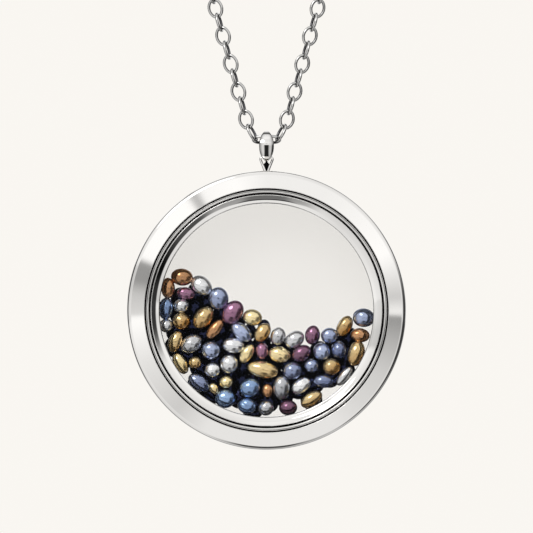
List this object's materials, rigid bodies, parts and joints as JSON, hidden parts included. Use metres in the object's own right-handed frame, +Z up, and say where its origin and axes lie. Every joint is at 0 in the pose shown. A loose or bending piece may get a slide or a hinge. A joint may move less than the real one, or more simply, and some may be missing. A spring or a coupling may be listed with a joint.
{
  "type": "locket necklace",
  "caption": "Round locket with a screw-in front window and a glass back, half full of loose dyed pearls, hung by a soldered loop and a bail on a fine cable chain.",
  "frame": {"origin": "middle of the clasp at the nape, the highest stretch of the closed necklace, from which all of it hangs", "axes": "+Z up, opposite to the fall of the chain; the locket's window faces -Y; +X is to the right as seen from the front"},
  "size_m": [0.113, 0.0072, 0.2943],
  "materials": {
    "polished_steel": "mirror polished stainless steel",
    "chain_steel": "polished stainless steel wire",
    "clear_glass": "clear flat glass, polished both sides",
    "gold_pearl": "dyed pearl with a metallic lustre, golden",
    "bronze_pearl": "dyed pearl with a metallic lustre, bronze brown",
    "silver_pearl": "pearl with a metallic lustre, silver grey",
    "slate_pearl": "dyed pearl with a metallic lustre, slate blue",
    "blue_pearl": "dyed pearl with a metallic lustre, deep blue",
    "plum_pearl": "dyed pearl with a metallic lustre, plum",
    "navy_pearl": "dyed pearl with a metallic lustre, near black"
  },
  "bodies": {
    "chain": {"chain_front": "chain_steel", "chain_left": "chain_steel", "chain_right": "chain_steel", "clasp": "chain_steel"},
    "bail": {"bail": "polished_steel"},
    "locket": {"locket_body": "polished_steel", "back_glass": "clear_glass", "pearls_gold": "gold_pearl", "pearls_bronze": "bronze_pearl", "pearls_silver": "silver_pearl", "pearls_slate": "slate_pearl", "pearls_blue": "blue_pearl", "pearls_plum": "plum_pearl", "pearls_navy": "navy_pearl"},
    "window": {"window_ring": "polished_steel", "front_glass": "clear_glass"}
  },
  "joints": [
    {"name": "bail_swing", "type": "hinge", "parent": "chain", "child": "bail", "pos_m": [0, 0, -0.2598], "axis": [1, 0, 0], "range_deg": [-60, 60]},
    {"name": "locket_swing", "type": "hinge", "parent": "bail", "child": "locket", "pos_m": [0, 0, -0.26126], "axis": [0, 1, 0], "range_deg": [-12, 12]},
    {"name": "window_lift", "type": "slide", "parent": "locket", "child": "window", "axis": [0, -1, 0], "range_m": [0, 0.012]}
  ]
}
